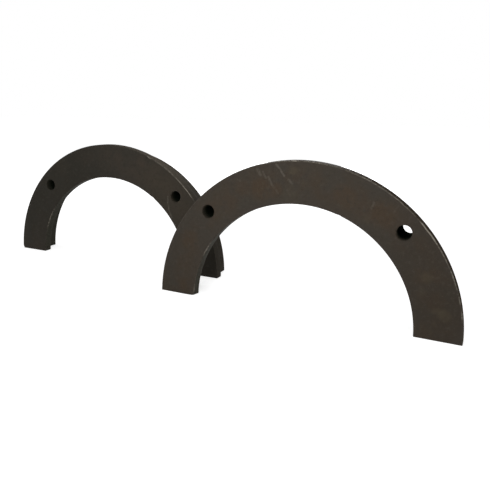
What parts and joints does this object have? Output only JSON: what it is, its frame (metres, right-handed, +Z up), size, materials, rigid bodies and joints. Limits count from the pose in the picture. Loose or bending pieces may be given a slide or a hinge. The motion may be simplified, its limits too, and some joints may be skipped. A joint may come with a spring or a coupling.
{
  "type": "bearing separator",
  "caption": "Split bearing separator ring: matching half rings of stepped section, with an inner lip, a rear rib and through bolt holes, standing on their cut faces.",
  "frame": {"origin": "centre of the bottom of the box round both halves, on the surface that they stand on", "axes": "+X to the right along the halves' faces, +Y from the flange faces towards the ribs, +Z up from the cut faces"},
  "size_m": [0.4534, 0.0816, 0.1175],
  "materials": {
    "front_steel": "matt brown-black oxide with faint brown mottling, fine scratches and edges worn lighter",
    "rear_steel": "matt grey-black oxide with edges worn lighter"
  },
  "bodies": {
    "root": {"front_half": "front_steel", "rear_half": "rear_steel"}
  },
  "joints": []
}
